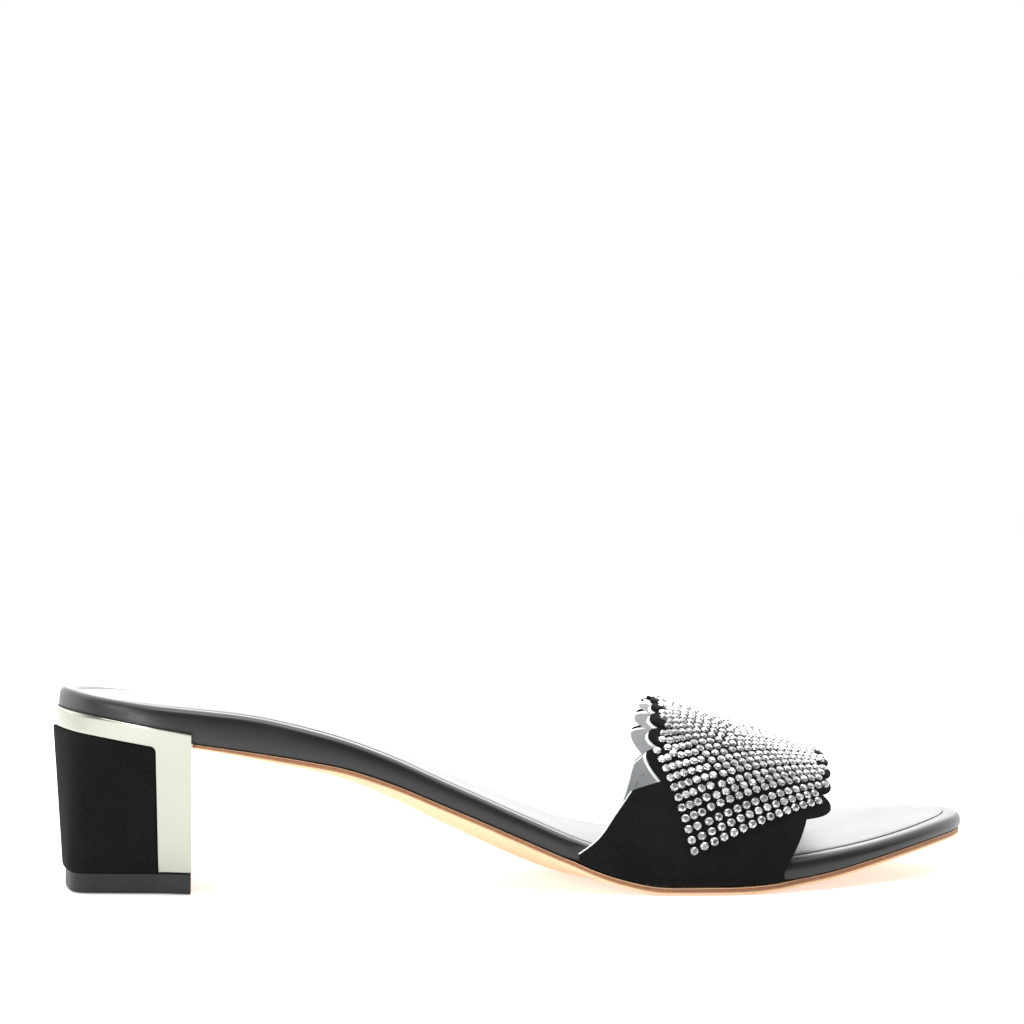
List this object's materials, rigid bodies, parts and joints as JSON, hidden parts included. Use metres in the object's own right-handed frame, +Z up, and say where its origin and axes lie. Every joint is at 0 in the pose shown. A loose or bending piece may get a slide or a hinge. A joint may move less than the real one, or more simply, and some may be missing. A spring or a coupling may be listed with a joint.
{
  "type": "slide sandal",
  "caption": "Heeled slide sandal with a low block heel, a leather sole and a wide suede strap cut into fingers and covered with bands of clear stones.",
  "frame": {"origin": "middle of the bounding box in X and Y, on the floor under the sole", "axes": "+X from the heel to the toe, +Y to the inner side of the foot, +Z up"},
  "size_m": [0.243, 0.0836, 0.0507],
  "materials": {
    "outsole": "natural tan leather, smooth",
    "footbed": "black smooth leather, satin",
    "sock": "black smooth leather, satin",
    "suede": "black suede, matt nap",
    "stones": "clear cut stones with a foiled back, set close in rows",
    "plate": "polished plating in a pale warm silver",
    "rubber": "dense black rubber, fine matt"
  },
  "bodies": {
    "root": {"outsole": "outsole", "footbed": "footbed", "insole_sock": "sock", "upper": "suede", "outer_band_1": "stones", "outer_band_2": "stones", "outer_band_3": "stones", "outer_band_4": "stones", "outer_band_5": "stones", "inner_band_1": "stones", "inner_band_2": "stones", "inner_band_3": "stones", "inner_band_4": "stones", "inner_band_5": "stones", "heel_frame": "plate", "heel_cover": "suede", "top_lift": "rubber"}
  },
  "joints": []
}
